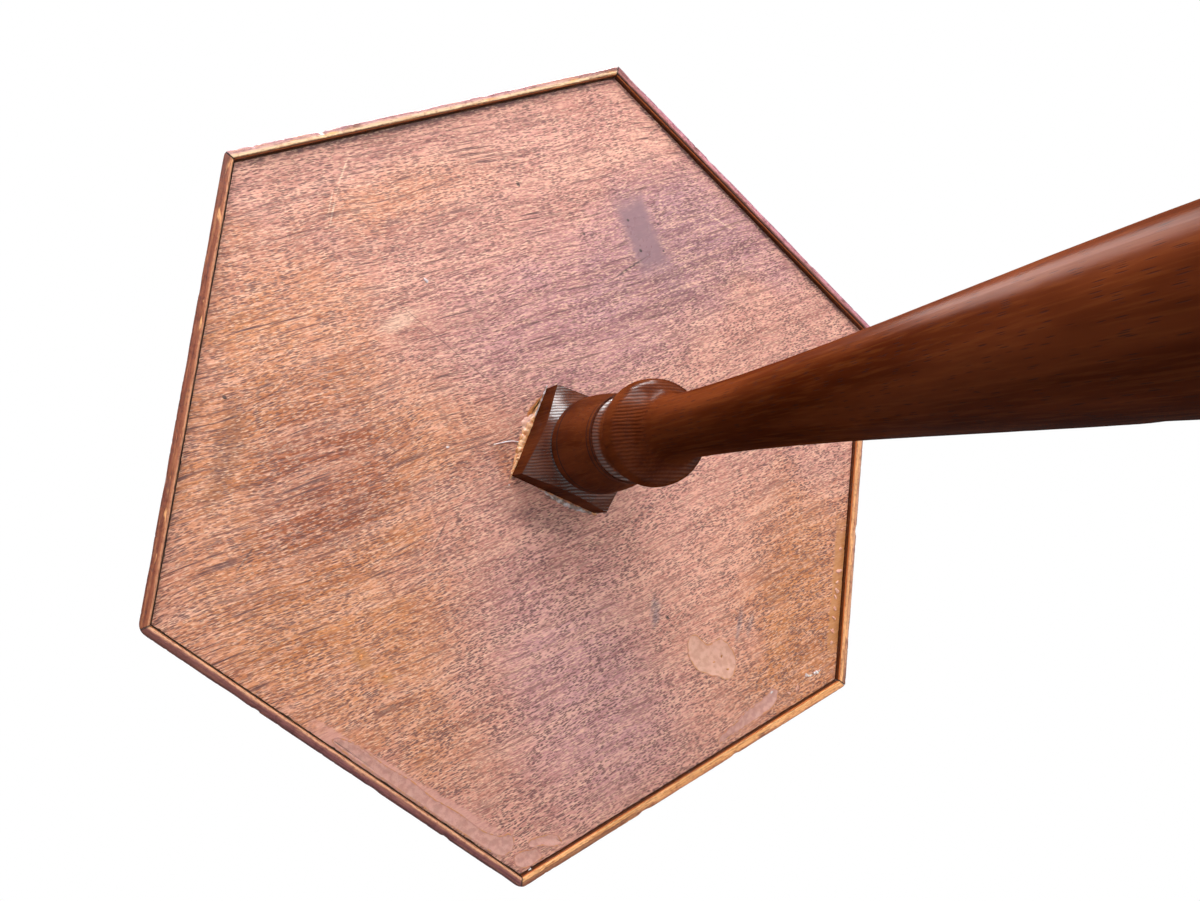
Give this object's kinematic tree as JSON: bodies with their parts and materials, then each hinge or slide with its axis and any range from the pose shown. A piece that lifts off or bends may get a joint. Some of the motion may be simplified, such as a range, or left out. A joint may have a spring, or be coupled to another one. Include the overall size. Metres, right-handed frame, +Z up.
{
  "type": "hexagonal pedestal table",
  "caption": "Small pedestal table: fixed hexagonal veneered top with mitred edging, on a turned column with square head, moulded neck and long vase, and cabriole legs with pad feet.",
  "frame": {"origin": "on the floor, under the column's axis, which is the middle of the top", "axes": "+Z up along the column; a corner of the top and one leg point along +X"},
  "size_m": [0.5, 0.433, 0.66],
  "materials": {
    "panel_core": "raw board edge, hidden behind the edging",
    "polished_veneer": "polished mahogany veneer, medium gloss",
    "underside_veneer": "stained mahogany veneer, open pored, satin, marked and stained",
    "edging": "stained mahogany lipping, worn to pale wood on its inner lower edge",
    "turned_mahogany": "dark red-brown lacquered turning, glossy",
    "beech_dowel": "plain dowel, hidden in the joint",
    "steel_plate": "thin pressed steel, dulled",
    "steel_screws": "countersunk wood screws, dulled",
    "dried_glue": "dried wood glue, amber to grey, uneven"
  },
  "bodies": {
    "root": {"core_board": "panel_core", "top_veneer": "polished_veneer", "underside_veneer": "underside_veneer", "edge_strip_1": "edging", "edge_strip_2": "edging", "edge_strip_3": "edging", "edge_strip_4": "edging", "edge_strip_5": "edging", "edge_strip_6": "edging", "column": "turned_mahogany", "top_dowel": "beech_dowel", "leg_1": "turned_mahogany", "leg_2": "turned_mahogany", "leg_3": "turned_mahogany", "spider_plate": "steel_plate", "plate_screws": "steel_screws", "old_glue": "dried_glue"}
  },
  "joints": []
}
